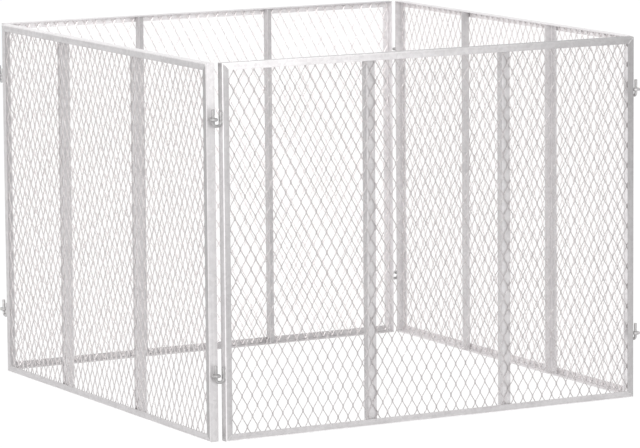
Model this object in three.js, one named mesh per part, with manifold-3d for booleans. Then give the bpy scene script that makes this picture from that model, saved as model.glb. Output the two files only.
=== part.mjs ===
// Compost bin of four galvanised steel panels, standing on the ground and open above and below.
// Each panel is a frame of steel angle with an expanded mesh and two uprights behind it. At one end it
// carries two eyes of round bar, at the other two hooks of round bar that stand in its neighbour's eyes.
// Millimetres, +Z up. The origin is on the ground in the middle of the plan, and the front faces -Y.

import * as THREE from 'three';
import { mergeVertices } from 'three/addons/utils/BufferGeometryUtils.js';
import Module from 'manifold-3d';

const wasm = await Module();
wasm.setup();

// Driving dimensions
const panel_length = 1015; // one panel, along the ground
const panel_height = 800;
const corner_step = 31; // from a panel's outer plane to the start edge of the next panel
const weld_gap = 0.3; // left between pieces that are welded together

// Frame of steel angle
const frame_face_leg = 15; // leg that lies in the panel's outer plane
const frame_inward_leg = 20; // leg that points into the bin
const frame_wall = 2.5;
const frame_arris_radius = 2.4; // outside of the fold
const frame_root_radius = 1.2; // inside of the fold
const fold_steps = 5; // straight steps in a quarter turn of a fold

// Uprights of steel angle behind the mesh
const upright_leg = 20;
const upright_wall = 2.5;
const upright_arris_radius = 2.4;
const upright_root_radius = 1.2;

// Expanded mesh, its diamonds drawn larger than the real ones and in their real proportion
const mesh_thickness = 3;
const mesh_strand = 3; // width of one strand
const mesh_edge_clearance = 1.5; // from the frame's inward legs
const mesh_half_columns = 16; // half diamonds across
const mesh_half_rows = 7; // half diamonds up

// Eyes and hooks of round bar at the corners
const bar_diameter = 6.5;
const bar_sides = 8;
const pin_clearance = 0.75; // all round the pin in its eye
const eye_steps = 20;
const eye_above_arm = 14; // from the middle of the hook's arm to the middle of the eye
const pin_length = 36; // from the middle of the hook's arm to the tip of its pin
const hook_bend_radius = 7; // to the middle of the bar
const hook_leg_length = 30; // from the middle of the arm to the top of the leg welded to the stile
const hook_steps = 28;
const lower_arm_height = 128; // above the ground
const upper_arm_drop = 131; // below the panel's top

// How far a cut runs past what it cuts
const overrun = 5;

// A cubic curve that stands for a quarter circle puts its handles at this share of the radius
const quarter_handle_share = 0.5523;

// The pins are flush with their own panel's outer plane. Their axes lie outside their neighbour's end
// edge, over the middle of its eye stile's inward leg.
const bar_radius = bar_diameter / 2;
const pin_depth = bar_radius;
const eye_ring_radius = bar_radius + pin_clearance + bar_radius; // to the middle of the eye's bar
const axis_outside = eye_ring_radius + bar_radius + weld_gap;
const axis_along = frame_inward_leg / 2;

// The plan is a square whose sides are the panels' outer planes
const end_step = axis_outside + pin_depth; // from a panel's end edge to the next panel's outer plane
const plan_side = corner_step + panel_length + end_step;
const half_plan = plan_side / 2;
const start_edge = -half_plan + corner_step; // hook end of a panel, along its length
const end_edge = half_plan - end_step; // eye end
const panel_middle = (start_edge + end_edge) / 2;

// Depths behind the panel's outer plane
const mesh_depth = frame_wall + weld_gap;
const upright_depth = mesh_depth + mesh_thickness + weld_gap;

// Finishes, as colours seen in daylight
const galvanised_frame = { color: 0xc4c7c9, roughness: 0.42, metalness: 0.85 };
const galvanised_mesh = { color: 0xd0d2d3, roughness: 0.5, metalness: 0.8 };
const galvanised_bar = { color: 0xb6b9bc, roughness: 0.38, metalness: 0.88 };

function named_mesh(name, geometry, finish) {
    const mesh = new THREE.Mesh(geometry, new THREE.MeshStandardMaterial(finish));
    mesh.name = name;
    return mesh;
}

// The outline of an angle section: x is the way across the face leg, y the depth behind the outer face
function angle_outline(face_leg, inward_leg, wall, arris_radius, root_radius) {
    const outline = new THREE.Shape();
    outline.moveTo(arris_radius, 0);
    outline.lineTo(face_leg, 0);
    outline.lineTo(face_leg, wall);
    outline.lineTo(wall + root_radius, wall);
    outline.absarc(wall + root_radius, wall + root_radius, root_radius, -Math.PI / 2, -Math.PI, true);
    outline.lineTo(wall, inward_leg);
    outline.lineTo(0, inward_leg);
    outline.lineTo(0, arris_radius);
    outline.absarc(arris_radius, arris_radius, arris_radius, Math.PI, Math.PI * 1.5, false);
    return outline;
}

// One side of the frame, lying along x with its outer edge at z = 0 and the panel's middle above it.
// Its ends are cut back by the distance from the outer edge, so the four sides meet in mitres.
function frame_side(length) {
    const outline = angle_outline(
        frame_face_leg, frame_inward_leg, frame_wall, frame_arris_radius, frame_root_radius);
    const geometry = new THREE.ExtrudeGeometry(
        outline, { depth: length, steps: 1, bevelEnabled: false, curveSegments: fold_steps });
    const places = geometry.getAttribute('position');
    const mitre_gap = weld_gap / Math.SQRT2;
    for (let i = 0; i < places.count; i += 1) {
        const from_edge = places.getX(i);
        const depth = places.getY(i);
        const at_far_end = places.getZ(i) > length / 2;
        const cut_back = from_edge + mitre_gap;
        const along = at_far_end ? cut_back - length / 2 : length / 2 - cut_back;
        places.setXYZ(i, along, depth, from_edge);
    }
    geometry.computeVertexNormals();
    return geometry;
}

function upright_bar() {
    const outline = angle_outline(
        upright_leg, upright_leg, upright_wall, upright_arris_radius, upright_root_radius);
    const length = panel_height - 2 * (frame_wall + weld_gap);
    return new THREE.ExtrudeGeometry(
        outline, { depth: length, steps: 1, bevelEnabled: false, curveSegments: fold_steps });
}

function to_solid(geometry) {
    const bare = geometry.clone();
    bare.deleteAttribute('normal');
    bare.deleteAttribute('uv');
    const merged = mergeVertices(bare);
    return new wasm.Manifold(new wasm.Mesh({
        numProp: 3,
        vertProperties: new Float32Array(merged.getAttribute('position').array),
        triVerts: new Uint32Array(merged.index.array),
    }));
}

function to_geometry(solid) {
    const mesh = solid.getMesh();
    const geometry = new THREE.BufferGeometry();
    geometry.setAttribute('position', new THREE.BufferAttribute(new Float32Array(mesh.vertProperties), 3));
    geometry.setIndex(new THREE.BufferAttribute(new Uint32Array(mesh.triVerts), 1));
    geometry.computeVertexNormals();
    return geometry;
}

// A flat sheet, standing in the x-z plane, whose diamonds leave strands of even width between them
function mesh_sheet() {
    const half_width = panel_length / 2 - frame_wall - mesh_edge_clearance;
    const half_height = panel_height / 2 - frame_wall - mesh_edge_clearance;
    const half_across = half_width * 2 / mesh_half_columns;
    const half_up = half_height * 2 / mesh_half_rows;
    const strand_share = mesh_strand / 2 * Math.hypot(half_across, half_up) / (half_across * half_up);
    const open_across = half_across * (1 - strand_share);
    const open_up = half_up * (1 - strand_share);
    const diamond = new THREE.Shape([
        new THREE.Vector2(open_across, 0),
        new THREE.Vector2(0, open_up),
        new THREE.Vector2(-open_across, 0),
        new THREE.Vector2(0, -open_up),
    ]);
    const cut_depth = mesh_thickness + 2 * overrun;
    const cutter = new THREE.ExtrudeGeometry(diamond, { depth: cut_depth, bevelEnabled: false });
    cutter.rotateX(Math.PI / 2);
    cutter.translate(0, mesh_thickness + overrun, 0);
    let sheet = to_solid(new THREE.BoxGeometry(2 * half_width, mesh_thickness, 2 * half_height)
        .translate(0, mesh_thickness / 2, 0));
    for (let column = 0; column <= mesh_half_columns; column += 1) {
        for (let row = 0; row <= mesh_half_rows; row += 1) {
            if ((column + row) % 2 === 1) {
                const across = column * half_across - half_width;
                const up = row * half_up - half_height;
                sheet = sheet.subtract(to_solid(cutter.clone().translate(across, 0, up)));
            }
        }
    }
    return to_geometry(sheet);
}

function quarter_bend(from, corner, to) {
    const first_handle = from.clone().lerp(corner, quarter_handle_share);
    const second_handle = to.clone().lerp(corner, quarter_handle_share);
    return new THREE.CubicBezierCurve3(from, first_handle, second_handle, to);
}

// A hook with the foot of its pin at the origin: the pin stands up, the arm runs along +x, and the leg
// stands beside the outer face of the stile that carries it
function hook_bar() {
    const arm_reach = corner_step - axis_along - weld_gap - bar_radius;
    const tip = new THREE.Vector3(0, 0, pin_length);
    const pin_foot = new THREE.Vector3(0, 0, hook_bend_radius);
    const arm_start = new THREE.Vector3(hook_bend_radius, 0, 0);
    const arm_turn = new THREE.Vector3(arm_reach - hook_bend_radius, 0, 0);
    const leg_foot = new THREE.Vector3(arm_reach, 0, hook_bend_radius);
    const leg_top = new THREE.Vector3(arm_reach, 0, hook_leg_length);
    const path = new THREE.CurvePath();
    path.add(new THREE.LineCurve3(tip, pin_foot));
    path.add(quarter_bend(pin_foot, new THREE.Vector3(0, 0, 0), arm_start));
    path.add(new THREE.LineCurve3(arm_start, arm_turn));
    path.add(quarter_bend(arm_turn, new THREE.Vector3(arm_reach, 0, 0), leg_foot));
    path.add(new THREE.LineCurve3(leg_foot, leg_top));
    const section = new THREE.Shape();
    section.absarc(0, 0, bar_radius, 0, Math.PI * 2, false);
    return new THREE.ExtrudeGeometry(
        section, { extrudePath: path, steps: hook_steps, curveSegments: bar_sides / 2 });
}

function eye_ring() {
    return new THREE.TorusGeometry(eye_ring_radius, bar_radius, bar_sides, eye_steps);
}

const side_long = frame_side(panel_length);
const side_tall = frame_side(panel_height);
const upright = upright_bar();
const sheet = mesh_sheet();
const hook = hook_bar();
const eye = eye_ring();

// Where a panel's pieces go when it stands at the front of the bin, seen from outside: its hook end is
// on the left and its eye end on the right. folds gives the places of the two uprights' folds, as shares
// of the panel's length from its hook end. flanges says on which side of its fold each upright's face leg
// lies, towards the hook end (-1) or the eye end (+1).
function panel(name, folds, flanges) {
    const group = new THREE.Group();
    const middle_height = panel_height / 2;

    const bottom_rail = named_mesh(`${name}_bottom_rail`, side_long, galvanised_frame);
    bottom_rail.position.set(panel_middle, -half_plan, 0);
    const top_rail = named_mesh(`${name}_top_rail`, side_long, galvanised_frame);
    top_rail.position.set(panel_middle, -half_plan, panel_height);
    top_rail.rotation.y = Math.PI;
    const hook_stile = named_mesh(`${name}_hook_stile`, side_tall, galvanised_frame);
    hook_stile.position.set(start_edge, -half_plan, middle_height);
    hook_stile.rotation.y = Math.PI / 2;
    const eye_stile = named_mesh(`${name}_eye_stile`, side_tall, galvanised_frame);
    eye_stile.position.set(end_edge, -half_plan, middle_height);
    eye_stile.rotation.y = -Math.PI / 2;
    group.add(bottom_rail, top_rail, hook_stile, eye_stile);

    const mesh = named_mesh(`${name}_mesh`, sheet, galvanised_mesh);
    mesh.position.set(panel_middle, -half_plan + mesh_depth, middle_height);
    group.add(mesh);

    ['hook_side', 'eye_side'].forEach((place, i) => {
        const bar = named_mesh(`${name}_${place}_upright`, upright, galvanised_frame);
        const fold_line = start_edge + panel_length * folds[i];
        const foot = flanges[i] > 0 ? frame_wall + weld_gap : panel_height - frame_wall - weld_gap;
        bar.position.set(fold_line, -half_plan + upright_depth, foot);
        bar.rotation.y = flanges[i] > 0 ? 0 : Math.PI;
        group.add(bar);
    });

    const arm_heights = { lower: lower_arm_height, upper: panel_height - upper_arm_drop };
    for (const [level, arm_height] of Object.entries(arm_heights)) {
        const bent_bar = named_mesh(`${name}_${level}_hook`, hook, galvanised_bar);
        bent_bar.position.set(-half_plan + axis_along, -half_plan + pin_depth, arm_height);
        const ring = named_mesh(`${name}_${level}_eye`, eye, galvanised_bar);
        ring.position.set(end_edge + axis_outside, -half_plan + axis_along, arm_height + eye_above_arm);
        group.add(bent_bar, ring);
    }
    return group;
}

// The panels follow each other round the plan, each turned a quarter further than the one before. Their
// uprights stand near the thirds, each where it was welded.
const round_the_plan = [
    { name: 'front', folds: [0.342, 0.671], flanges: [1, 1] },
    { name: 'right', folds: [0.319, 0.68], flanges: [-1, 1] },
    { name: 'back', folds: [0.336, 0.667], flanges: [-1, -1] },
    { name: 'left', folds: [0.298, 0.656], flanges: [-1, -1] },
];

const compost_bin = new THREE.Group();
round_the_plan.forEach(({ name, folds, flanges }, quarter) => {
    const turned = panel(name, folds, flanges);
    turned.rotation.z = quarter * Math.PI / 2;
    compost_bin.add(turned);
});

export default compost_bin;
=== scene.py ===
"""A garden compost bin of four galvanised panels of expanded metal, hooked together at the corners.

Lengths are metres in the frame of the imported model: +Z is up and the front panel faces -Y. Each panel is
worked out as it stands at the front of the bin, hook end on the left, and is then turned to its side.
"""

import logging
import math
from dataclasses import dataclass, field
from enum import Enum

import bpy
import numpy as np
from mathutils import Matrix, Vector


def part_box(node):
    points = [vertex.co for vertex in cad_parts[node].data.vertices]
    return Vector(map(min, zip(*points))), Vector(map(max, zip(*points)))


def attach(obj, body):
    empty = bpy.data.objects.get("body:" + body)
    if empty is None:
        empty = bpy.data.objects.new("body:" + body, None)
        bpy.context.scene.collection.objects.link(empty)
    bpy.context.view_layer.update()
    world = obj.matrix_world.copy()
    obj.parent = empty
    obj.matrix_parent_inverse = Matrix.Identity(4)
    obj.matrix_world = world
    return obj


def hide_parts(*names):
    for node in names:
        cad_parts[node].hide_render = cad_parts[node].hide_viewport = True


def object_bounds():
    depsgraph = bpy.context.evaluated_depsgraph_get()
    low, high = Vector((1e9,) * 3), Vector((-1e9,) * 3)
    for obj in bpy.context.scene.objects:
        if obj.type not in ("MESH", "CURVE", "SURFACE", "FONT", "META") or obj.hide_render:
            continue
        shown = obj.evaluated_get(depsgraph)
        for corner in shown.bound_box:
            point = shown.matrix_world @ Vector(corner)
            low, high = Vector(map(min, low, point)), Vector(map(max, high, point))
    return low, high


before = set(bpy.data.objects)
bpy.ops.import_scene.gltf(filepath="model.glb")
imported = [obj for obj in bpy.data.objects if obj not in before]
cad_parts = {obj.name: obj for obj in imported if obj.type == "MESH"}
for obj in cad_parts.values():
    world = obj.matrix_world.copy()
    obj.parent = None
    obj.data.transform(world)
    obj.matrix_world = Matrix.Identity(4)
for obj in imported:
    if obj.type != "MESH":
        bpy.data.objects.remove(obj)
CAD_LOW, CAD_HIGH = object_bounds()

Array = np.ndarray
Colour = tuple[float, float, float]

MM = 0.001
SHARP_EDGE = math.radians(38)
# Name of the point attribute that holds each piece's painted light and shade.
PAINTED_LIGHT_ATTRIBUTE = "tone"
GRAIN_ATTRIBUTE = "grain_place"
SHADER = "Principled BSDF"
RIGHT = np.array([1.0, 0.0, 0.0])
DEEP = np.array([0.0, 1.0, 0.0])
UP = np.array([0.0, 0.0, 1.0])

log = logging.getLogger("compost_bin")


class Side(Enum):
    """The side of the bin that a panel stands on, as quarter turns from the front."""

    FRONT = 0
    RIGHT = 1
    BACK = 2
    LEFT = 3

    @property
    def label(self) -> str:
        """The word that the names of the panel's nodes and pieces start with."""
        return self.name.lower()

    @property
    def body(self) -> str:
        """The body that the panel's pieces ride on."""
        return f"{self.label}_panel"

    @property
    def turn(self) -> Array:
        """The matrix that turns the front panel's points to this side, about the upright axis."""
        angle = self.value * math.pi / 2
        cosine, sine = round(math.cos(angle)), round(math.sin(angle))
        return np.array([[cosine, -sine, 0], [sine, cosine, 0], [0, 0, 1]], float)


@dataclass
class Shape:
    """Closed surfaces held as arrays: points, and faces grouped by how many corners they have."""

    points: Array
    faces: list[Array]

    def volume(self) -> float:
        """Returns the volume inside, as a sum of pyramids. It is below zero if the faces point inward."""
        total = 0.0
        for group in self.faces:
            first = self.points[group[:, 0]]
            for corner in range(1, group.shape[1] - 1):
                second, third = self.points[group[:, corner]], self.points[group[:, corner + 1]]
                total += float(np.einsum("ij,ij->", first, np.cross(second, third))) / 6
        return total

    def outward(self) -> "Shape":
        """Returns the shape itself, with its faces turned round if they pointed inward."""
        if self.volume() < 0:
            self.faces = [group[:, ::-1] for group in self.faces]
        return self

    @staticmethod
    def joined(shapes: list["Shape"]) -> "Shape":
        """Puts several shapes in one.

        Args:
            shapes: the shapes, which stay separate surfaces.

        Returns:
            One shape whose face indices run on from shape to shape.
        """
        starts = np.cumsum([0] + [len(shape.points) for shape in shapes[:-1]])
        faces = [group + start for shape, start in zip(shapes, starts) for group in shape.faces]
        return Shape(np.concatenate([shape.points for shape in shapes]), faces)


def tubes(rings: Array) -> Shape:
    """Skins rings of points into closed tubes.

    Each ring is joined to the next by a band of four-cornered faces, and a flat face closes each end.

    Args:
        rings: points as (tubes, rings, sides, 3).

    Returns:
        The tubes as one shape with its faces outward.
    """
    count, length, sides = rings.shape[:3]
    index = np.arange(count * length * sides).reshape(count, length, sides)
    after = np.roll(index, -1, axis=2)
    band = np.stack([index[:, :-1], after[:, :-1], after[:, 1:], index[:, 1:]], axis=-1)
    faces = [band.reshape(-1, 4), index[:, 0, ::-1], index[:, -1]]
    return Shape(rings.reshape(-1, 3), faces).outward()


def arc(centre: tuple[float, float], radius: float, start: float, stop: float, steps: int) -> Array:
    """Points on an arc: the centre plus the radius times (cos a, sin a), with a in even steps.

    Args:
        centre: of the arc.
        radius: of the arc.
        start: angle of the first point, in degrees.
        stop: angle of the last point, in degrees.
        steps: straight steps from the first point to the last.

    Returns:
        The points as (steps + 1, 2).
    """
    angle = np.radians(np.linspace(start, stop, steps + 1))
    return np.array(centre) + radius * np.stack([np.cos(angle), np.sin(angle)], axis=1)


def circle(sides: int) -> Array:
    """Returns the points (cos a, sin a) for a in even steps of a full turn, as (sides, 2)."""
    return arc((0.0, 0.0), 1.0, 0.0, 360.0, sides)[:-1]


def rings_along(path: Array, first: Array, second: Array, section: Array, radius: Array) -> Array:
    """Carries a section along a path.

    A ring point is the path's point, plus the section's x times the radius along first, plus its y times
    the radius along second.

    Args:
        path: points as (rings, 3).
        first: unit direction of the section's x at each point, as (rings, 3).
        second: unit direction of the section's y at each point, as (rings, 3).
        section: outline of size one, as (sides, 2).
        radius: size of the section at each point, as (rings,).

    Returns:
        The rings as (1, rings, sides, 3).
    """
    across = section[None, :, :1] * first[:, None]
    up = section[None, :, 1:] * second[:, None]
    return (path[:, None] + radius[:, None, None] * (across + up))[None]


def lumps(
    centres: Array, radii: Array, sides: int = 8, bands: int = 5, end_latitude: float = 80.0
) -> Shape:
    """Small closed lumps: the ring at latitude a is a circle of cos a at the height sin a.

    Args:
        centres: as (count, 3).
        radii: half sizes along x, y and z, as (count, 3).
        sides: points round each ring.
        bands: bands of faces from end to end.
        end_latitude: of the last ring at each end, in degrees.

    Returns:
        The lumps as one shape.
    """
    latitude = np.radians(np.linspace(-end_latitude, end_latitude, bands + 1))
    unit = np.empty((bands + 1, sides, 3))
    unit[..., :2] = np.cos(latitude)[:, None, None] * circle(sides)
    unit[..., 2] = np.sin(latitude)[:, None]
    return tubes(centres[:, None, None] + radii[:, None, None] * unit)


@dataclass(frozen=True)
class WeldBead:
    """A weld bead: a tube whose radius swells with each ripple and whose ends are round."""

    radius: float
    ripple: float = 1.8 * MM
    swell_share: float = 0.12
    aside_share: float = 0.12
    sides: int = 10
    rings_a_ripple: int = 4
    tip_share: float = 0.03
    least_rings: int = 10

    def along(self, start: Array | list[float], stop: Array | list[float]) -> Shape:
        """Runs a bead from one point to another.

        The radius is the bead's own, swollen by a sine of the distance. Within one radius of an end it
        follows a quarter circle down to the tip. The section starts square to the bead and to its own
        direction with the coordinates exchanged, which never lies along it.

        Args:
            start: first point.
            stop: last point.

        Returns:
            The bead as a closed shape.
        """
        start, stop = np.array(start, float), np.array(stop, float)
        length = float(np.linalg.norm(stop - start))
        direction = (stop - start) / length
        first = np.cross(direction, np.roll(direction, 1) + self.aside_share * direction[::-1])
        first /= np.linalg.norm(first)
        rings = max(self.least_rings, round(length / self.ripple) * self.rings_a_ripple)
        share = (1 - np.cos(np.linspace(0.0, math.pi, rings + 1))) / 2
        to_end = np.clip(np.minimum(share, 1 - share) * length / self.radius, self.tip_share, 1.0)
        swell = 1 + self.swell_share * np.sin(share * length / self.ripple * 2 * math.pi)
        radius = self.radius * swell * np.sqrt(1 - (1 - to_end) ** 2)
        path = start + share[:, None] * (stop - start)
        level = np.ones((rings + 1, 1))
        return tubes(rings_along(
            path, first * level, np.cross(direction, first) * level, circle(self.sides), radius))


@dataclass(frozen=True)
class RoundBar:
    """Round bar, bent square where its middle line has a corner, with its end edges rounded."""

    radius: float
    bend_radius: float = 7.0 * MM
    end_radius: float = 1.1 * MM
    sides: int = 24
    bend_steps: int = 10
    end_steps: int = 4
    ring_steps: int = 48

    def along(self, corners: Array) -> Shape:
        """Bends a bar through the corners.

        A bend is a quarter circle that touches both stretches. The section's own x turns with the bar:
        what lies along the outgoing stretch goes over to the incoming one, and the rest stays.

        Args:
            corners: the ends and square corners of the middle line, as (count, 3).

        Returns:
            The bar as a closed shape.
        """
        runs = np.diff(corners, axis=0)
        runs /= np.linalg.norm(runs, axis=1)[:, None]
        quarter = np.linspace(0, math.pi / 2, self.end_steps + 1)
        from_tip = self.end_radius * (1 - np.cos(quarter))[:, None]
        shrunk = self.radius - self.end_radius * (1 - np.sin(quarter))
        level = np.ones((self.end_steps + 1, 1))
        normal = np.cross(runs[0], runs[1])
        path = [corners[0] + from_tip * runs[0]]
        tangents, firsts = [level * runs[0]], [level * normal]
        turn = np.linspace(0, math.pi / 2, self.bend_steps + 1)[:, None]
        for corner, inward, outward in zip(corners[1:-1], runs[:-1], runs[1:]):
            centre = corner + self.bend_radius * (outward - inward)
            path.append(centre + self.bend_radius * (np.sin(turn) * inward - np.cos(turn) * outward))
            tangents.append(np.cos(turn) * inward + np.sin(turn) * outward)
            side = np.cross(inward, outward)
            turned = np.cos(turn) * outward - np.sin(turn) * inward
            firsts.append((normal @ side) * side + (normal @ outward) * turned)
            normal = firsts[-1][-1]
        path.append(corners[-1] - from_tip[::-1] * runs[-1])
        tangents.append(level * runs[-1])
        firsts.append(level * normal)
        first, tangent = np.concatenate(firsts), np.concatenate(tangents)
        radius = np.full(len(first), self.radius)
        radius[: self.end_steps + 1] = shrunk
        radius[-self.end_steps - 1 :] = shrunk[::-1]
        return tubes(rings_along(
            np.concatenate(path), first, np.cross(tangent, first), circle(self.sides), radius))

    def ring(self, centre: Array, middle_radius: float) -> Shape:
        """Closes a bar into a ring that lies flat.

        A point at the angle a round the ring and b round the bar lies at the middle radius plus the bar's
        radius times cos b from the upright axis, and at the bar's radius times sin b in height.

        Args:
            centre: of the ring.
            middle_radius: from the axis to the middle of the bar.

        Returns:
            The ring as a closed shape.
        """
        section, turns = circle(self.sides), circle(self.ring_steps)
        out = middle_radius + self.radius * section[:, 0]
        rings = np.empty((len(turns), len(section), 3))
        rings[..., :2] = turns[:, None] * out[None, :, None]
        rings[..., 2] = self.radius * section[:, 1]
        index = np.arange(rings.shape[0] * rings.shape[1]).reshape(rings.shape[:2])
        beside, after = np.roll(index, -1, axis=1), np.roll(index, -1, axis=0)
        corner = np.roll(beside, -1, axis=0)
        faces = np.stack([index, beside, corner, after], axis=-1).reshape(-1, 4)
        return Shape(rings.reshape(-1, 3) + centre, [faces]).outward()


def noise(
    tree: bpy.types.NodeTree, place: bpy.types.NodeSocket, size: float, detail: float
) -> bpy.types.NodeSocket:
    """Adds a noise texture.

    Args:
        tree: of the material.
        place: the coordinates that it reads.
        size: of its largest patches, in the coordinates' unit.
        detail: how many times a finer noise is added.

    Returns:
        The noise's value.
    """
    texture = tree.nodes.new("ShaderNodeTexNoise")
    texture.inputs["Scale"].default_value = 1 / size
    texture.inputs["Detail"].default_value = detail
    tree.links.new(place, texture.inputs["Vector"])
    return texture.outputs["Fac"]


@dataclass(frozen=True)
class Galvanising:
    """Hot-dip zinc: a satin skin with faint crystals, upright runs, soft clouds and an uneven surface."""

    name: str
    slot: str
    bright: Colour
    dull: Colour
    metallic: float
    smoothest: float
    roughest: float
    crystal: float
    cloud: float = 90 * MM
    run_width: float = 4 * MM
    run_length: float = 200 * MM
    grain: float = 1.6 * MM
    cloud_detail: float = 4
    fine_detail: float = 3
    dull_below: float = 0.25
    bright_above: float = 0.75
    crystal_share: float = 0.5
    run_share: float = 0.5
    crystal_relief: float = 0.02 * MM
    run_relief: float = 0.12 * MM
    grain_relief: float = 0.05 * MM

    def runs(self, tree: bpy.types.NodeTree) -> bpy.types.NodeSocket:
        """Adds the runs: a noise on the grain places, drawn out along the bar, as it was rolled.

        Args:
            tree: of the material.

        Returns:
            The noise's value.
        """
        place = tree.nodes.new("ShaderNodeAttribute")
        place.attribute_name = GRAIN_ATTRIBUTE
        drawn_out = tree.nodes.new("ShaderNodeMapping")
        size = (self.run_width, self.run_width, self.run_length)
        drawn_out.inputs["Scale"].default_value = [1 / side for side in size]
        tree.links.new(place.outputs["Vector"], drawn_out.inputs["Vector"])
        return noise(tree, drawn_out.outputs["Vector"], 1.0, self.fine_detail)

    def add_colour(self, tree: bpy.types.NodeTree, blend: bpy.types.NodeSocket) -> None:
        """Gives the shader its colour: between dull and bright by the blend, times the painted light and
        shade of the place.

        Args:
            tree: of the material.
            blend: from zero where the zinc is dull to one where it is bright.
        """
        ramp = tree.nodes.new("ShaderNodeValToRGB")
        stops = ((self.dull_below, self.dull), (self.bright_above, self.bright))
        for element, (position, colour) in zip(ramp.color_ramp.elements, stops):
            element.position = position
            element.color = (*colour, 1)
        tree.links.new(blend, ramp.inputs["Fac"])
        # Painted light and shade: the mesh's attribute scales the colour.
        tone = tree.nodes.new("ShaderNodeAttribute")
        tone.attribute_name = PAINTED_LIGHT_ATTRIBUTE
        colour_with_painted_light = tree.nodes.new("ShaderNodeVectorMath")
        colour_with_painted_light.operation = "SCALE"
        tree.links.new(ramp.outputs["Color"], colour_with_painted_light.inputs[0])
        tree.links.new(tone.outputs["Fac"], colour_with_painted_light.inputs["Scale"])
        tree.links.new(colour_with_painted_light.outputs["Vector"], tree.nodes[SHADER].inputs["Base Color"])

    def material(self) -> bpy.types.Material:
        """Makes the material.

        The blend mixes three values: a cloudy noise, the runs, and a random value for each crystal. It
        sets the colour and the roughness. The relief adds the crystals, the runs and a fine noise.

        Returns:
            The material, on Object coordinates and two attributes of the mesh.
        """
        material = bpy.data.materials.new(self.name)
        material.use_nodes = True
        tree = material.node_tree
        shader = tree.nodes[SHADER]
        shader.inputs["Metallic"].default_value = self.metallic
        place = tree.nodes.new("ShaderNodeTexCoord").outputs["Object"]
        crystals = tree.nodes.new("ShaderNodeTexVoronoi")
        crystals.inputs["Scale"].default_value = 1 / self.crystal
        tree.links.new(place, crystals.inputs["Vector"])
        apart = tree.nodes.new("ShaderNodeSeparateColor")
        tree.links.new(crystals.outputs["Color"], apart.inputs["Color"])
        runs = self.runs(tree)

        blend = noise(tree, place, self.cloud, self.cloud_detail)
        for share, value in ((self.run_share, runs), (self.crystal_share, apart.outputs["Red"])):
            mix = tree.nodes.new("ShaderNodeMix")
            mix.inputs["Factor"].default_value = share
            tree.links.new(blend, mix.inputs["A"])
            tree.links.new(value, mix.inputs["B"])
            blend = mix.outputs["Result"]
        self.add_colour(tree, blend)

        sheen = tree.nodes.new("ShaderNodeMapRange")
        sheen.inputs["To Min"].default_value = self.roughest
        sheen.inputs["To Max"].default_value = self.smoothest
        tree.links.new(blend, sheen.inputs["Value"])
        tree.links.new(sheen.outputs["Result"], shader.inputs["Roughness"])

        reliefs = (
            (apart.outputs["Green"], self.crystal_relief),
            (runs, self.run_relief),
            (noise(tree, place, self.grain, self.fine_detail), self.grain_relief),
        )
        normal = None
        for height, relief in reliefs:
            bump = tree.nodes.new("ShaderNodeBump")
            bump.inputs["Distance"].default_value = relief
            tree.links.new(height, bump.inputs["Height"])
            if normal is not None:
                tree.links.new(normal, bump.inputs["Normal"])
            normal = bump.outputs["Normal"]
        tree.links.new(normal, shader.inputs["Normal"])
        return material


@dataclass(frozen=True)
class Tone:
    """Painted light and shade on a piece: factors on its finish's colour that make it lighter or darker by
    how the light falls on it.
    """

    # first and last: painted light that falls off along the bar, from one end to the other.
    first: float = 1.0
    last: float = 1.0
    # leg and leg_end: painted light or shade on the inward leg, by how it faces the light.
    leg: float = 1.0
    leg_end: float = 1.0
    # arris: a painted highlight along the rounded fold.
    arris: float = 1.0
    leg_depth: float = 2.55 * MM
    end_share: float = 0.1

    def at(self, points: Array, on_arris: Array | float) -> Array:
        """Works out the painted light and shade of each point.

        It runs evenly from the first value to the last along the longest side of the piece's box, a
        painted falloff of light.
        Deeper than the leg's depth it is multiplied by the leg's value, painted light or shade on the
        inward leg, and over the end share of the length, at its last end, by the leg end's value too. On
        the arris it is multiplied by the arris's value, a painted highlight.

        Args:
            points: of the piece as it stands at the front.
            on_arris: how far each point lies on the arris, from zero to one.

        Returns:
            One factor for each point.
        """
        low, size = points.min(0), np.ptp(points, 0)
        longest = int(size.argmax())
        share = (points[:, longest] - low[longest]) / size[longest]
        level = self.first + share * (self.last - self.first)
        deep = points[:, 1] > low[1] + self.leg_depth
        leg = self.leg * np.where(share > 1 - self.end_share, self.leg_end, 1.0)
        return level * np.where(deep, leg, 1.0) * (1 + (self.arris - 1) * on_arris)


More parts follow.
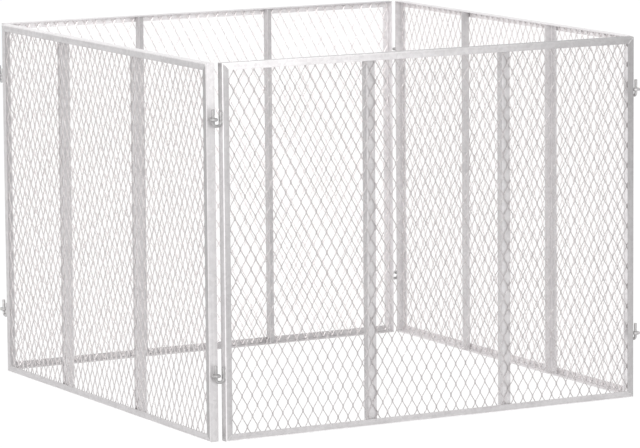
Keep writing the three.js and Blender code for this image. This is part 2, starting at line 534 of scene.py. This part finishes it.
@dataclass
class Piece:
    """A finished piece: its shape as it stands at the front, and what it rides on and stands for."""

    name: str
    shape: Shape
    finish: Galvanising
    stands_for: tuple[str, ...] = ()
    # The painted light and shade on its colour, and how far each point lies on the arris, where the
    # painted highlight goes.
    tone: Tone = Tone()
    on_arris: Array | float = 0.0

    def grain_places(self) -> Array:
        """Returns the points with their coordinates in order of the box's sides, the longest last."""
        points = self.shape.points
        return points[:, np.argsort(np.ptp(points, 0), kind="stable")]

    def make(self, side: Side, materials: dict[str, bpy.types.Material]) -> None:
        """Puts the piece in the scene, as an object at the origin with its place in its mesh.

        Args:
            side: of the bin that it stands on.
            materials: by finish name.
        """
        label = f"{side.label}_{self.name}"
        mesh = bpy.data.meshes.new(label)
        points = self.shape.points @ side.turn.T
        faces = [face for group in self.shape.faces for face in group.tolist()]
        mesh.from_pydata(points, [], faces)
        mesh.shade_smooth()
        mesh.set_sharp_from_angle(angle=SHARP_EDGE)
        mesh.materials.append(materials[self.finish.name])
        # Painted light and shade, kept on each point for the material to scale its colour by.
        painted_light_factors = self.tone.at(self.shape.points, self.on_arris).astype(np.float32)
        mesh.attributes.new(PAINTED_LIGHT_ATTRIBUTE, "FLOAT", "POINT").data.foreach_set("value", painted_light_factors)
        places = self.grain_places().astype(np.float32).ravel()
        mesh.attributes.new(GRAIN_ATTRIBUTE, "FLOAT_VECTOR", "POINT").data.foreach_set("vector", places)
        thing = bpy.data.objects.new(label, mesh)
        bpy.context.scene.collection.objects.link(thing)
        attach(thing, side.body)
        if self.stands_for:
            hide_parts(*(f"{side.label}_{node}" for node in self.stands_for))
        log.info("%s: %d points, %d faces, on %s", label, len(points), len(faces), side.body)


@dataclass(frozen=True)
class AngleSection:
    """Outline of a steel angle: a face leg and an inward leg that meet in a rounded fold."""

    face_leg: float
    inward_leg: float
    wall: float = 2.5 * MM
    arris_radius: float = 2.6 * MM
    root_radius: float = 1.2 * MM
    toe_radius: float = 0.7 * MM
    fold_steps: int = 6
    toe_steps: int = 3
    rings: int = 13

    def outline(self) -> Array:
        """Draws the outline: arcs at the arris, the four toe corners and the root.

        Returns:
            The points as (points, 2): the distance across from the fold, and the depth.
        """
        wall, toe = self.wall, self.toe_radius
        arris, root = self.arris_radius, self.wall + self.root_radius
        return np.concatenate([
            arc((arris, arris), arris, 180, 270, self.fold_steps),
            arc((self.face_leg - toe, toe), toe, -90, 0, self.toe_steps),
            arc((self.face_leg - toe, wall - toe), toe, 0, 90, self.toe_steps),
            arc((root, root), self.root_radius, 270, 180, self.fold_steps),
            arc((wall - toe, self.inward_leg - toe), toe, 0, 90, self.toe_steps),
            arc((toe, self.inward_leg - toe), toe, 90, 180, self.toe_steps),
        ])

    def on_arris(self) -> Array:
        """Works out how far each point of a bar lies on the arris, where the painted highlight goes: a
        sine over its arc, and zero off it.

        Returns:
            One value for each point, from zero to one.
        """
        share = np.zeros(len(self.outline()))
        share[: self.fold_steps + 1] = np.sin(np.linspace(0, math.pi, self.fold_steps + 1))
        return np.tile(share, self.rings)

    def bar(self, corner: Array, along: Array, across: Array, length: float, mitred: bool) -> Shape:
        """Runs the angle along a line.

        A point lies at the corner, plus its share of the length along the line, plus its distance across
        the face leg, plus its depth. A mitred end is cut back by the distance across.

        Args:
            corner: where the fold starts.
            along: unit direction of the line.
            across: unit direction across the face leg, from the fold.
            length: of the line.
            mitred: whether both ends are cut at 45 degrees.

        Returns:
            The bar as a closed shape.
        """
        outline = self.outline()
        cut_back = outline[:, 0] if mitred else np.zeros(len(outline))
        share = np.linspace(0, 1, self.rings)[:, None]
        run = cut_back + share * (length - 2 * cut_back)
        section = outline[None, :, :1] * across + outline[None, :, 1:] * DEEP
        return tubes((corner + run[..., None] * along + section)[None])


@dataclass(frozen=True)
class ExpandedSheet:
    """Expanded metal: upright strips between staggered slits, drawn apart into diamonds.

    Strip k lies between the bond lines k and k + 1 and touches them by turns, every half diamond. Where
    two strips are bonded they lie side by side, tilted out of the sheet's plane, so that a strip starts at
    the back of one bond and ends at the front of the next.
    """

    low: Array
    high: Array
    tilt: float
    short_pitch: float = 24.4 * MM
    long_pitch: float = 44.6 * MM
    strand: float = 2.3 * MM
    thickness: float = 1.5 * MM
    corner_cut: float = 0.25 * MM
    bond_length: float = 3.2 * MM
    tilt_spread: float = math.radians(3)
    place_spread: float = 0.2 * MM
    depth_spread: float = 0.1 * MM
    bend_share: float = 0.14
    bend_ease: float = 0.09
    spare_levels: int = 1
    stations_a_bond: int = 4
    seed: int = 1

    def strips(self) -> int:
        """Returns how many strips fit across the sheet."""
        return round(2 * (self.high[0] - self.low[0]) / self.short_pitch)

    def stations(self) -> tuple[Array, Array]:
        """Works out where each strip's middle runs.

        At a bond the middle is half a strand from the bond line, along the tilted direction. Between
        bonds it goes over from one side to the other, slowly at first and last. The spare levels of bonds
        lie past the foot and the top, where the sheet is cut off.

        Returns:
            The heights as (stations,), and x, y and tilt of each strip there as (strips, stations, 3).
        """
        chance = np.random.default_rng(self.seed)
        strips = self.strips()
        half_short = (self.high[0] - self.low[0]) / strips
        half_long = self.long_pitch / 2
        levels = math.ceil((self.high[2] - self.low[2]) / half_long) + 1 + 2 * self.spare_levels
        spread = chance.normal(0.0, 1.0, (3, strips + 1, levels))
        strip, level = np.arange(strips)[:, None], np.arange(levels)[None]
        odd = (strip + level) % 2
        line = strip + odd
        side = 1 - 2 * odd
        tilt = self.tilt + self.tilt_spread * spread[0][line, level]
        offset = side * (self.strand / 2 - self.corner_cut)
        x = self.low[0] + line * half_short + self.place_spread * spread[1][line, level]
        y = (self.low[1] + self.high[1]) / 2 + self.depth_spread * spread[2][line, level]
        bonds = np.stack([x + offset * np.cos(tilt), y + offset * np.sin(tilt), tilt], axis=-1)
        run = half_long - self.bond_length
        reach = self.bond_length / 2 + run * np.array([0.0, self.bend_share, 1 - self.bend_share])
        reach = np.concatenate([[-self.bond_length / 2], reach])
        ease = np.array([0.0, 0.0, self.bend_ease, 1 - self.bend_ease])[:, None]
        height = self.low[2] + half_long * (np.arange(levels - 1)[:, None] - self.spare_levels) + reach
        middle = bonds[:, :-1, None] * (1 - ease) + bonds[:, 1:, None] * ease
        return height.ravel(), middle.reshape(strips, -1, 3)

    def middle_at(self, height: float) -> Array:
        """Works out where the strips are at one height, between its two nearest stations.

        Args:
            height: above the ground.

        Returns:
            x, y and tilt of each strip as (strips, 3).
        """
        heights, middle = self.stations()
        after = int(np.searchsorted(heights, height))
        share = (height - heights[after - 1]) / (heights[after] - heights[after - 1])
        return middle[:, after - 1] * (1 - share) + middle[:, after] * share

    def bonds_of(self, strip: int) -> Array:
        """Finds the bonds at which a strip touches its own outer bond line.

        Args:
            strip: zero for the first, or minus one for the last.

        Returns:
            Their middle points as (bonds, 3).
        """
        heights, middle = self.stations()
        first = 0 if strip >= 0 else self.strips() % 2
        at_bond = slice(None, None, self.stations_a_bond)
        bonds = np.column_stack([middle[strip, at_bond, :2], heights[at_bond] + self.bond_length / 2])
        return bonds[first::2]

    def shape(self) -> Shape:
        """Makes the sheet. Each strip is a rectangle with cut corners, turned by its tilt as it goes.

        Returns:
            The strips as one shape, cut off level at the sheet's foot and top.
        """
        heights, middle = self.stations()
        inside = (heights > self.low[2]) & (heights < self.high[2])
        ends = [self.middle_at(height)[:, None] for height in (self.low[2], self.high[2])]
        middle = np.concatenate([ends[0], middle[:, inside], ends[1]], axis=1)
        heights = np.concatenate([[self.low[2]], heights[inside], [self.high[2]]])
        wide, deep, cut = self.strand / 2, self.thickness / 2, self.corner_cut
        u = np.array([wide - cut, wide, wide, wide - cut, cut - wide, -wide, -wide, cut - wide])
        v = np.array([-deep, cut - deep, deep - cut, deep, deep, deep - cut, cut - deep, -deep])
        cosine, sine = np.cos(middle[..., 2:]), np.sin(middle[..., 2:])
        rings = np.empty((*middle.shape[:2], len(u), 3))
        rings[..., 0] = middle[..., :1] + u * cosine - v * sine
        rings[..., 1] = middle[..., 1:2] + u * sine + v * cosine
        rings[..., 2] = heights[:, None]
        return tubes(rings)


ANGLE_ZINC = Galvanising(
    name="galvanised_angle", slot="galvanised_angle", bright=(0.68, 0.665, 0.67), dull=(0.51, 0.495, 0.5),
    metallic=0.4, smoothest=0.28, roughest=0.45, crystal=7 * MM, crystal_share=0.2)
MESH_ZINC = Galvanising(
    name="galvanised_mesh", slot="galvanised_mesh", bright=(0.73, 0.7, 0.7), dull=(0.57, 0.54, 0.54),
    metallic=0.6, smoothest=0.3, roughest=0.45, crystal=5 * MM)
BAR_ZINC = Galvanising(
    name="galvanised_bar", slot="galvanised_bar", bright=(0.65, 0.64, 0.64), dull=(0.47, 0.46, 0.46),
    metallic=0.5, smoothest=0.3, roughest=0.48, crystal=5 * MM)
WELD_ZINC = Galvanising(
    name="galvanised_weld", slot="galvanised_bar", bright=(0.67, 0.66, 0.66), dull=(0.49, 0.48, 0.48),
    metallic=0.4, smoothest=0.36, roughest=0.55, crystal=3 * MM)


# Painted light and shade on each bar: factors on the zinc's colour that make it lighter or darker by how
# the light falls on it.
# The first value is at the hook end or foot of a bar, the last at its eye end or top, for light that falls
# off along it;
# the leg's are painted light or shade for the part that points inward, and the arris's is a painted
# highlight along the fold.
PAINTED_LIGHT: dict[Side, dict[str, Tone]] = {
    Side.FRONT: {
        "top_rail": Tone(1.6, 0.72, leg=0.6),
        "bottom_rail": Tone(1.0, 1.0, arris=1.8),
        "hook_stile": Tone(0.87, 0.9, leg=1.15, leg_end=0.77, arris=1.65),
        "eye_stile": Tone(0.84, 0.66, arris=0.7),
        "hook_side_upright": Tone(1.08, 1.02, leg=0.92),
        "eye_side_upright": Tone(1.14, 1.02),
        "mesh": Tone(0.88, 0.88),
        "lower_hook": Tone(0.7, 0.7),
        "upper_hook": Tone(0.7, 0.7),
    },
    Side.RIGHT: {
        "top_rail": Tone(1.52, 1.56, leg=0.85),
        "bottom_rail": Tone(1.3, 1.4),
        "hook_stile": Tone(1.5, 1.5),
        "eye_stile": Tone(1.24, 1.16),
        "hook_side_upright": Tone(1.2, 1.1),
        "eye_side_upright": Tone(1.14, 0.98),
        "mesh": Tone(1.26, 1.26),
    },
    Side.BACK: {
        "top_rail": Tone(1.3, 1.65, leg=0.78),
        "hook_stile": Tone(1.35, 1.4),
        "mesh": Tone(1.34, 1.34),
    },
    Side.LEFT: {
        "top_rail": Tone(1.0, 0.92, leg=1.45, arris=1.4),
        "bottom_rail": Tone(1.0, 1.0, arris=1.8),
        "eye_stile": Tone(0.68, 0.66, leg=1.62, leg_end=1.35, arris=1.8),
        "hook_side_upright": Tone(1.12, 0.95, leg=1.08),
        "eye_side_upright": Tone(1.12, 1.0, leg=1.06),
        "mesh": Tone(0.96, 0.96),
        "lower_eye": Tone(0.7, 0.7),
        "upper_eye": Tone(0.7, 0.7),
    },
}


@dataclass(frozen=True)
class UprightPlace:
    """Where an upright stands: its node, its box, and which way its face leg runs from its fold."""

    node: str
    low: Array
    high: Array
    across: float

    @property
    def heel(self) -> float:
        """The fold's side of the upright."""
        return self.low[0] if self.across > 0 else self.high[0]

    @property
    def toe(self) -> float:
        """The side where the face leg ends."""
        return self.high[0] if self.across > 0 else self.low[0]


@dataclass
class Panel:
    """One panel, worked out from its CAD nodes as it stands at the front of the bin."""

    side: Side
    start: float = field(init=False)
    end: float = field(init=False)
    length: float = field(init=False)
    outer: float = field(init=False)
    height: float = field(init=False)
    rail: AngleSection = field(init=False)

    upright_shares: tuple[tuple[str, float], ...] = (
        ("hook_side_upright", 1 / 3), ("eye_side_upright", 2 / 3))
    levels: tuple[str, ...] = ("lower", "upper")
    hook_leg_share: float = 5 / 6  # height of a hook's leg, of its pin's

    sheet_side_room: float = 0.2 * MM
    sheet_tilt: float = math.radians(20)
    sheet_seed: int = 11
    turned_sheets: tuple[Side, ...] = (Side.BACK,)  # put in the other way up, to lean the other way
    tack_radii: tuple[float, float, float] = (1.6 * MM, 1.0 * MM, 1.8 * MM)
    tack_spread: float = 0.15
    tack_seed: int = 31

    mitre_bead: WeldBead = WeldBead(1.5 * MM)
    mitre_depth: float = 0.95 * MM
    mitre_start: float = 2.2 * MM
    mitre_toe_room: float = 0.4 * MM
    inner_bead: WeldBead = WeldBead(1.7 * MM)
    inner_root_room: float = 4.2 * MM
    inner_lip_room: float = 0.8 * MM
    upright_bead: WeldBead = WeldBead(1.5 * MM)
    upright_inset: float = 0.4 * MM
    upright_fold_room: float = 4.5 * MM
    upright_toe_room: float = 1.0 * MM
    upright_lip_room: float = 1.2 * MM
    hook_bead: WeldBead = WeldBead(1.5 * MM)
    hook_bead_out: float = 0.7 * MM
    hook_bead_share: float = 0.82  # distance beside the middle of the leg, of the bar's radius
    hook_foot_room: float = 5.5 * MM
    hook_top_room: float = 1.5 * MM
    eye_bead: WeldBead = WeldBead(1.7 * MM)
    eye_bead_out: float = 0.3 * MM
    eye_bead_share: float = 0.75  # distance above the middle of the ring, of the bar's radius
    eye_half_bead: float = 4.5 * MM

    def __post_init__(self) -> None:
        """Reads the panel's place and sizes from its rails."""
        low, high = self.box("bottom_rail")
        self.start, self.end = low[0], high[0]
        self.length = self.end - self.start
        self.outer = low[1]
        self.height = self.box("top_rail")[1][2]
        self.rail = AngleSection(face_leg=high[2], inward_leg=high[1] - low[1])

    def box(self, node: str) -> tuple[Array, Array]:
        """Gives a node's box as it would be at the front.

        Args:
            node: its name without the side.

        Returns:
            The lowest and highest corners.
        """
        corners = np.array(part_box(f"{self.side.label}_{node}")) @ self.side.turn
        return corners.min(0), corners.max(0)

    def frame_bars(self) -> list[Piece]:
        """Returns the two rails and two stiles, mitred where they meet."""
        low_start = np.array([self.start, self.outer, 0.0])
        high_end = np.array([self.end, self.outer, self.height])
        bars = (
            ("bottom_rail", low_start, RIGHT, UP, self.length),
            ("hook_stile", low_start, UP, RIGHT, self.height),
            ("top_rail", high_end, -RIGHT, -UP, self.length),
            ("eye_stile", high_end, -UP, -RIGHT, self.height),
        )
        pieces = []
        for node, corner, along, across, size in bars:
            bar = self.rail.bar(corner, along, across, size, True)
            pieces.append(Piece(f"{node}_angle", bar, ANGLE_ZINC, (node,), on_arris=self.rail.on_arris()))
        return pieces

    def upright_places(self) -> list[UprightPlace]:
        """Returns the uprights' places. Their folds are nearer to the panel's thirds than their toes."""
        places = []
        for node, share in self.upright_shares:
            low, high = self.box(node)
            line = self.start + self.length * share
            across = 1.0 if abs(low[0] - line) < abs(high[0] - line) else -1.0
            places.append(UprightPlace(node, low, high, across))
        return places

    def uprights(self) -> list[Piece]:
        """Returns the two uprights, cut square."""
        pieces = []
        for place in self.upright_places():
            size = place.high - place.low
            section = AngleSection(size[0], size[1])
            corner = np.array([place.heel, place.low[1], place.low[2]])
            bar = section.bar(corner, UP, place.across * RIGHT, size[2], False)
            pieces.append(Piece(
                f"{place.node}_angle", bar, ANGLE_ZINC, (place.node,), on_arris=section.on_arris()))
        return pieces

    def sheet(self) -> ExpandedSheet:
        """Returns the expanded sheet that fits where the mesh is, between the frame and the uprights."""
        low, high = self.box("mesh")
        room = self.sheet_side_room * RIGHT
        tilt = -self.sheet_tilt if self.side in self.turned_sheets else self.sheet_tilt
        return ExpandedSheet(low + room, high - room, tilt=tilt, seed=self.sheet_seed + self.side.value)

    def tacks(self, sheet: ExpandedSheet) -> Piece:
        """Tacks the sheet's edges to the back of the frame's face legs.

        Args:
            sheet: the panel's expanded sheet.

        Returns:
            The tacks as one piece.
        """
        leg_middle = self.rail.face_leg / 2
        centres = []
        for height in (leg_middle, self.height - leg_middle):
            middle = sheet.middle_at(height)[::2]
            centres.append(np.column_stack([middle[:, :2], np.full(len(middle), height)]))
        for strip in (0, -1):
            bonds = sheet.bonds_of(strip)
            clear = (bonds[:, 2] > self.rail.face_leg) & (bonds[:, 2] < self.height - self.rail.face_leg)
            centres.append(bonds[clear])
        centres = np.concatenate(centres)
        radii = np.array(self.tack_radii)
        centres[:, 1] = self.outer + self.rail.wall + radii[1]
        chance = np.random.default_rng(self.tack_seed + self.side.value)
        sizes = 1 + self.tack_spread * chance.normal(0, 1, (len(centres), 1))
        return Piece("mesh_tacks", lumps(centres, radii * sizes), WELD_ZINC)

    def corner_welds(self) -> Piece:
        """Returns the mitres' eight beads: one across each face and one inside each corner."""
        beads = []
        for x, across in ((self.start, 1), (self.end, -1)):
            for z, up in ((0.0, 1), (self.height, -1)):
                diagonal = across * RIGHT + up * UP
                corner = np.array([x, self.outer, z])
                face = corner + self.mitre_depth * DEEP
                root, toe = self.mitre_start, self.rail.face_leg - self.mitre_toe_room
                beads.append(self.mitre_bead.along(face + root * diagonal, face + toe * diagonal))
                inner = corner + self.rail.wall * diagonal
                lip = self.rail.inward_leg - self.inner_lip_room
                root = self.rail.wall + self.inner_root_room
                beads.append(self.inner_bead.along(inner + lip * DEEP, inner + root * DEEP))
        return Piece("corner_welds", Shape.joined(beads), WELD_ZINC)

    def upright_welds(self) -> Piece:
        """Returns the uprights' eight beads: along the inside of both legs, at foot and top."""
        wall = self.rail.wall
        beads = []
        for place in self.upright_places():
            across = place.across
            face = place.low[1] + wall + self.upright_inset
            leg = place.heel + across * (wall + self.upright_inset)
            lip = self.outer + self.rail.inward_leg - self.upright_lip_room
            fold = place.heel + across * self.upright_fold_room
            toe = place.toe - across * self.upright_toe_room
            for height in (wall, self.height - wall):
                beads.append(self.upright_bead.along([fold, face, height], [toe, face, height]))
                beads.append(self.upright_bead.along([leg, face + wall, height], [leg, lip, height]))
        return Piece("upright_welds", Shape.joined(beads), WELD_ZINC)

    def hook(self, level: str) -> tuple[Piece, list[Shape]]:
        """Works out a hook: the pin stands up, the arm lies level, and the leg is welded to the stile.

        Args:
            level: lower or upper.

        Returns:
            The hook, and the two beads that run up beside its leg.
        """
        low, high = self.box(f"{level}_hook")
        radius = (high[1] - low[1]) / 2
        pin = low + radius
        leg_x = high[0] - radius
        tip = high[2]
        leg_top = pin[2] + self.hook_leg_share * (tip - pin[2])
        corners = np.array([
            [pin[0], pin[1], tip], pin, [leg_x, pin[1], pin[2]], [leg_x, pin[1], leg_top]])
        bar = Piece(f"{level}_hook_bar", RoundBar(radius).along(corners), BAR_ZINC, (f"{level}_hook",))
        x = self.start - self.hook_bead_out
        foot, top = pin[2] + self.hook_foot_room, leg_top - self.hook_top_room
        sides = (pin[1] + side * self.hook_bead_share * radius for side in (-1, 1))
        beads = [self.hook_bead.along([x, y, foot], [x, y, top]) for y in sides]
        return bar, beads

    def eye(self, level: str) -> tuple[Piece, list[Shape]]:
        """Works out an eye: a flat ring of round bar against the end edge of the eye stile.

        Args:
            level: lower or upper.

        Returns:
            The eye, and the beads above and below where it touches the stile.
        """
        low, high = self.box(f"{level}_eye")
        centre = (low + high) / 2
        radius = (high[2] - low[2]) / 2
        ring = RoundBar(radius).ring(centre, (high[0] - low[0]) / 2 - radius)
        x, y, half = self.end + self.eye_bead_out, centre[1], self.eye_half_bead
        heights = (centre[2] + side * self.eye_bead_share * radius for side in (-1, 1))
        beads = [self.eye_bead.along([x, y - half, z], [x, y + half, z]) for z in heights]
        return Piece(f"{level}_eye_ring", ring, BAR_ZINC, (f"{level}_eye",)), beads

    def hooks_and_eyes(self) -> list[Piece]:
        """Returns the two hooks, the two eyes, and the welds of each pair."""
        hooks = [self.hook(level) for level in self.levels]
        eyes = [self.eye(level) for level in self.levels]
        pieces = [piece for piece, _ in hooks + eyes]
        for name, fittings in (("hook_welds", hooks), ("eye_welds", eyes)):
            beads = [bead for _, beads in fittings for bead in beads]
            pieces.append(Piece(name, Shape.joined(beads), WELD_ZINC))
        return pieces

    def pieces(self) -> list[Piece]:
        """Returns every piece of the panel, each with its painted light and shade."""
        sheet = self.sheet()
        mesh = Piece("expanded_mesh", sheet.shape(), MESH_ZINC, ("mesh",))
        welds = [self.tacks(sheet), self.corner_welds(), self.upright_welds()]
        pieces = [*self.frame_bars(), *self.uprights(), mesh, *welds, *self.hooks_and_eyes()]
        # Each piece takes its bar's painted light and shade from the table.
        for piece in pieces:
            for node in piece.stands_for:
                piece.tone = PAINTED_LIGHT[self.side].get(node, piece.tone)
        return pieces


@dataclass(frozen=True)
class PhotographCamera:
    """The photograph's camera: where it stands, how it is turned, and its focal length in pixels."""

    place: tuple[float, float, float] = (-4.7507, -8.729, 1.7684)
    turned_right: float = math.radians(28.654)
    tipped_down: float = math.radians(8.057)
    rolled: float = math.radians(-0.476)
    focal_pixels: float = 4466.0
    image_width: float = 640.0
    sensor_width: float = 36.0
    reach: float = 100.0

    def make(self) -> None:
        """Adds the camera and makes it the scene's own.

        It looks along its forward direction, with its right and up directions turned by the roll.
        """
        across = Vector((math.cos(self.turned_right), -math.sin(self.turned_right), 0))
        level = Vector((math.sin(self.turned_right), math.cos(self.turned_right), 0))
        forward = level * math.cos(self.tipped_down) - Vector((0, 0, math.sin(self.tipped_down)))
        above = across.cross(forward)
        right = across * math.cos(self.rolled) + above * math.sin(self.rolled)
        up = above * math.cos(self.rolled) - across * math.sin(self.rolled)
        data = bpy.data.cameras.new("photograph_camera")
        data.sensor_width = self.sensor_width
        data.lens = self.focal_pixels / self.image_width * self.sensor_width
        data.clip_end = self.reach
        camera = bpy.data.objects.new("photograph_camera", data)
        turned = Matrix((right, up, -forward)).transposed().to_4x4()
        camera.matrix_world = Matrix.Translation(self.place) @ turned
        bpy.context.scene.collection.objects.link(camera)
        bpy.context.scene.camera = camera
        log.info("camera: %.0f mm lens at %s", data.lens, self.place)


@dataclass(frozen=True)
class Lamp:
    """A soft square lamp that points at the middle of the bin."""

    name: str
    place: tuple[float, float, float]
    side: float
    watts: float

    def make(self, target: Vector) -> None:
        """Adds the lamp.

        Args:
            target: the point that it is turned to.
        """
        data = bpy.data.lights.new(self.name, "AREA")
        data.size = self.side
        data.energy = self.watts
        lamp = bpy.data.objects.new(self.name, data)
        lamp.location = self.place
        lamp.rotation_euler = (target - Vector(self.place)).to_track_quat("-Z", "Y").to_euler()
        bpy.context.scene.collection.objects.link(lamp)
        log.info("%s: %.0f W", self.name, self.watts)


@dataclass(frozen=True)
class Studio:
    """A pale floor, a white surround and soft lamps, at a level where a colour renders as written."""

    floor_half_side: float = 30.0
    floor_colour: Colour = (0.86, 0.86, 0.86)
    floor_glow_share: float = 0.88
    floor_glow: float = 1.07
    surround: Colour = (1.0, 1.0, 1.0)
    ambient: Colour = (0.73, 0.725, 0.73)
    lamps: tuple[Lamp, ...] = (
        Lamp("key_lamp", (-3.6, -6.8, 2.8), 2.5, 170),
        Lamp("top_lamp", (0.0, 0.5, 6.0), 5.0, 90),
        Lamp("edge_lamp", (-7.7, -4.1, 1.8), 1.5, 90),
    )

    @staticmethod
    def seen(tree: bpy.types.NodeTree) -> bpy.types.NodeSocket:
        """Adds a value that tells the rays by which a thing is seen from those that light others.

        Args:
            tree: of the material or the world.

        Returns:
            One on rays from the camera, a mirror or a clear body, and zero on others.
        """
        path = tree.nodes.new("ShaderNodeLightPath")
        value = path.outputs["Is Camera Ray"]
        for ray in ("Is Glossy Ray", "Is Transmission Ray"):
            larger = tree.nodes.new("ShaderNodeMath")
            larger.operation = "MAXIMUM"
            tree.links.new(value, larger.inputs[0])
            tree.links.new(path.outputs[ray], larger.inputs[1])
            value = larger.outputs[0]
        return value

    def make_floor(self) -> None:
        """Adds the floor: diffuse for the light that it throws back, and almost white where it is seen."""
        material = bpy.data.materials.new("pale_floor")
        material.use_nodes = True
        tree = material.node_tree
        tree.nodes.clear()
        diffuse = tree.nodes.new("ShaderNodeBsdfDiffuse")
        diffuse.inputs["Color"].default_value = (*self.floor_colour, 1)
        glow = tree.nodes.new("ShaderNodeEmission")
        glow.inputs["Strength"].default_value = self.floor_glow
        lifted = tree.nodes.new("ShaderNodeMixShader")
        lifted.inputs[0].default_value = self.floor_glow_share
        tree.links.new(diffuse.outputs[0], lifted.inputs[1])
        tree.links.new(glow.outputs[0], lifted.inputs[2])
        mixed = tree.nodes.new("ShaderNodeMixShader")
        tree.links.new(self.seen(tree), mixed.inputs[0])
        tree.links.new(diffuse.outputs[0], mixed.inputs[1])
        tree.links.new(lifted.outputs[0], mixed.inputs[2])
        output = tree.nodes.new("ShaderNodeOutputMaterial")
        tree.links.new(mixed.outputs[0], output.inputs["Surface"])
        half = self.floor_half_side
        corners = [(-half, -half, 0), (half, -half, 0), (half, half, 0), (-half, half, 0)]
        mesh = bpy.data.meshes.new("floor")
        mesh.from_pydata(corners, [], [(0, 1, 2, 3)])
        mesh.materials.append(material)
        floor = bpy.data.objects.new("floor", mesh)
        bpy.context.scene.collection.objects.link(floor)
        log.info("floor: %.0f m a side", 2 * half)

    def make_world(self) -> None:
        """Sets the surround: white where it is seen, and a softer grey as light on the bin."""
        world = bpy.data.worlds.new("surround")
        world.use_nodes = True
        tree = world.node_tree
        colour = tree.nodes.new("ShaderNodeMix")
        colour.data_type = "RGBA"
        tree.links.new(self.seen(tree), colour.inputs["Factor"])
        colour.inputs["A"].default_value = (*self.ambient, 1)
        colour.inputs["B"].default_value = (*self.surround, 1)
        tree.links.new(colour.outputs["Result"], tree.nodes["Background"].inputs["Color"])
        bpy.context.scene.world = world

    def make(self) -> None:
        """Adds the floor, the surround and the lamps."""
        self.make_floor()
        self.make_world()
        target = Vector((0, 0, CAD_HIGH.z / 2))
        for lamp in self.lamps:
            lamp.make(target)
        bpy.context.scene.view_settings.view_transform = "Standard"


def main() -> None:
    """Builds the camera, the studio and the four panels, and reports each piece."""
    logging.basicConfig(level=logging.INFO, format="%(name)s: %(message)s")
    PhotographCamera().make()
    Studio().make()
    finishes = (ANGLE_ZINC, MESH_ZINC, BAR_ZINC, WELD_ZINC)
    materials = {finish.name: finish.material() for finish in finishes}
    for side in Side:
        for piece in Panel(side).pieces():
            piece.make(side, materials)


if __name__ == "__main__":
    main()
